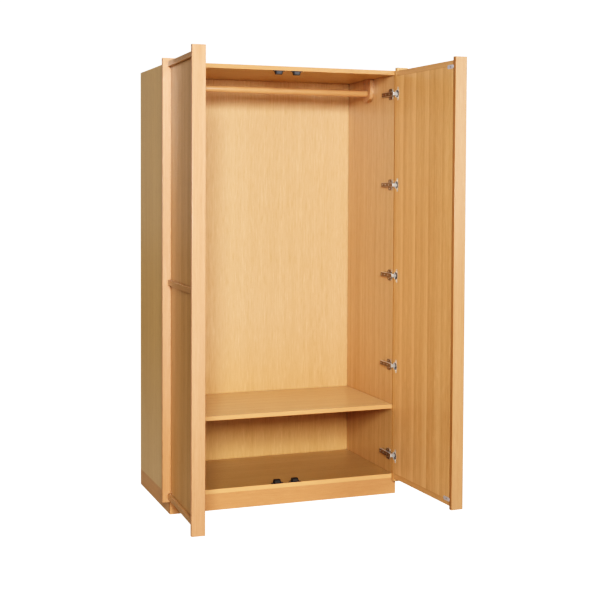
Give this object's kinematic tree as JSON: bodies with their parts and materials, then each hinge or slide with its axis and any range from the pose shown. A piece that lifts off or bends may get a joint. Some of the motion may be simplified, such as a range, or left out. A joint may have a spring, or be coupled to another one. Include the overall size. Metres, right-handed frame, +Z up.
{
  "type": "wardrobe with doors",
  "caption": "Free-standing beech wardrobe with framed hinged doors, a hanging rail, a low shelf and a plinth, drawn with its doors standing open.",
  "frame": {"origin": "on the floor, on the carcass's front plane, midway between the side panels", "axes": "+X to the right seen from the front, +Y to the back, +Z up"},
  "size_m": [1.1254, 1.0299, 1.862],
  "materials": {
    "beech_veneer": "satin lacquered beech veneer with upright leaves",
    "beech_solid": "satin lacquered solid beech",
    "plinth_beech": "satin lacquered beech, a little redder",
    "nickel": "bright nickel plate",
    "screw_steel": "zinc plate",
    "strike_steel": "satin zinc plate",
    "magnet_steel": "satin pole plates",
    "black_plastic": "fine matt"
  },
  "bodies": {
    "carcass": {"left_side_panel": "beech_veneer", "right_side_panel": "beech_veneer", "top_panel": "beech_veneer", "bottom_panel": "beech_veneer", "back_panel": "beech_veneer", "lower_shelf": "beech_veneer", "carcass_dowels": "beech_solid", "plinth_front": "plinth_beech", "plinth_back": "plinth_beech", "plinth_left": "plinth_beech", "plinth_right": "plinth_beech", "plinth_corner_blocks": "beech_solid", "hanging_rail": "beech_solid", "left_rail_bracket": "beech_veneer", "right_rail_bracket": "beech_veneer", "bracket_screws": "screw_steel", "catch_bodies": "black_plastic", "catch_magnets": "magnet_steel", "catch_screws": "screw_steel", "left_hinge_plates": "nickel", "left_plate_screws": "screw_steel", "left_hinge_arms": "nickel", "left_arm_screws": "screw_steel", "right_hinge_plates": "nickel", "right_plate_screws": "screw_steel", "right_hinge_arms": "nickel", "right_arm_screws": "screw_steel"},
    "left_door": {"left_hinge_stile": "beech_solid", "left_meeting_stile": "beech_solid", "left_bottom_rail": "beech_solid", "left_middle_rail": "beech_solid", "left_top_rail": "beech_solid", "left_door_panel": "beech_veneer", "left_hinge_cups": "nickel", "left_hinge_pins": "screw_steel", "left_cup_screws": "screw_steel", "left_strike_plates": "strike_steel", "left_strike_screws": "screw_steel"},
    "right_door": {"right_hinge_stile": "beech_solid", "right_meeting_stile": "beech_solid", "right_bottom_rail": "beech_solid", "right_middle_rail": "beech_solid", "right_top_rail": "beech_solid", "right_door_panel": "beech_veneer", "right_hinge_cups": "nickel", "right_hinge_pins": "screw_steel", "right_cup_screws": "screw_steel", "right_strike_plates": "strike_steel", "right_strike_screws": "screw_steel"}
  },
  "joints": [
    {"name": "left_door_hinge", "type": "hinge", "parent": "carcass", "child": "left_door", "pos_m": [-0.501, -0.0105, 0.9605], "axis": [0, 0, 1], "range_deg": [-3, 91.7]},
    {"name": "right_door_hinge", "type": "hinge", "parent": "carcass", "child": "right_door", "pos_m": [0.501, -0.0105, 0.9605], "axis": [0, 0, -1], "range_deg": [-3, 92.2]}
  ]
}
